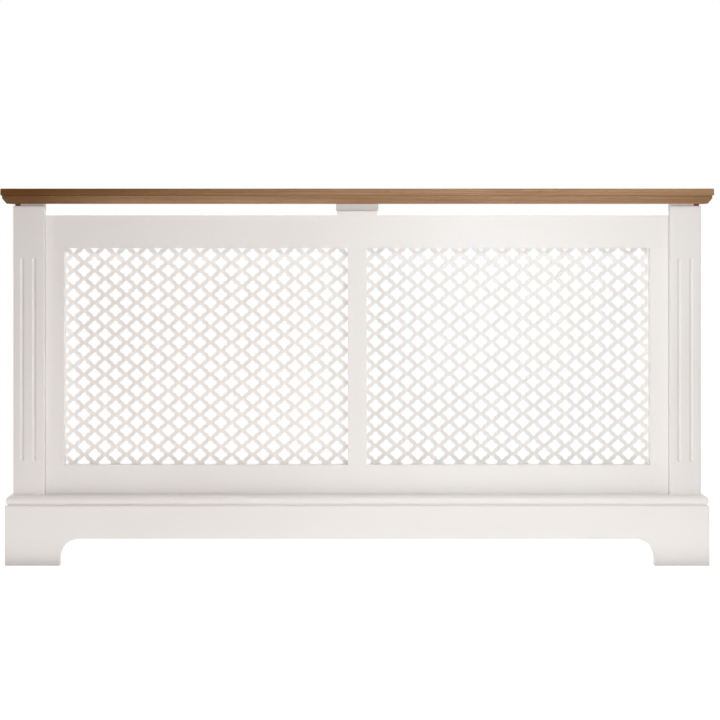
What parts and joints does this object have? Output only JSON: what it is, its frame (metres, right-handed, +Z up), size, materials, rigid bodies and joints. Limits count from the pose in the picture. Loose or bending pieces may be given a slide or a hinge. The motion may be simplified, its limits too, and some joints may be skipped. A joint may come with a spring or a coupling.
{
  "type": "radiator cover cabinet",
  "caption": "Painted radiator cover with an oak shelf, fluted posts, arched skirting and a pull-off front panel of pierced sheets.",
  "frame": {"origin": "on the floor, under the middle of the shelf", "axes": "+Z up, +X along the front to the viewer's right, +Y towards the wall"},
  "size_m": [1.54, 0.2, 0.815],
  "materials": {
    "white_paint": "satin paint on fibreboard",
    "batten_paint": "satin paint on softwood",
    "oak": "oiled oak",
    "pad_rubber": "matt",
    "catch_plastic": "moulded",
    "magnet_steel": "ground",
    "zinc_steel": "zinc plated"
  },
  "bodies": {
    "cabinet": {"catch_cases": "catch_plastic", "catch_magnets": "magnet_steel", "front_sill": "white_paint", "panel_packer_left": "white_paint", "panel_packer_right": "white_paint", "panel_stop_left": "white_paint", "panel_stop_right": "white_paint", "plinth_rail": "white_paint", "post_left": "white_paint", "post_right": "white_paint", "shelf_pads": "pad_rubber", "side_panel_left": "white_paint", "side_panel_right": "white_paint", "skirting_front": "white_paint", "skirting_return_left": "white_paint", "skirting_return_right": "white_paint", "wall_brackets": "zinc_steel"},
    "front_panel": {"top_rail": "white_paint", "bottom_rail": "white_paint", "stile_left": "white_paint", "stile_right": "white_paint", "mullion": "white_paint", "shelf_rest_block": "white_paint", "grille_left": "white_paint", "grille_right": "white_paint", "grille_beads_left": "white_paint", "grille_beads_right": "white_paint", "catch_strikes": "zinc_steel"},
    "shelf": {"shelf_batten_centre": "batten_paint", "shelf_batten_left": "batten_paint", "shelf_batten_right": "batten_paint", "shelf_board": "oak", "shelf_moulding_front": "oak", "shelf_moulding_left": "oak", "shelf_moulding_right": "oak"}
  },
  "joints": [
    {"name": "shelf_lift", "type": "slide", "parent": "cabinet", "child": "shelf", "axis": [0, 0, 1], "range_m": [0, 0.15]},
    {"name": "panel_pull", "type": "slide", "parent": "cabinet", "child": "front_panel", "axis": [0, -1, 0], "range_m": [0, 0.15]}
  ]
}
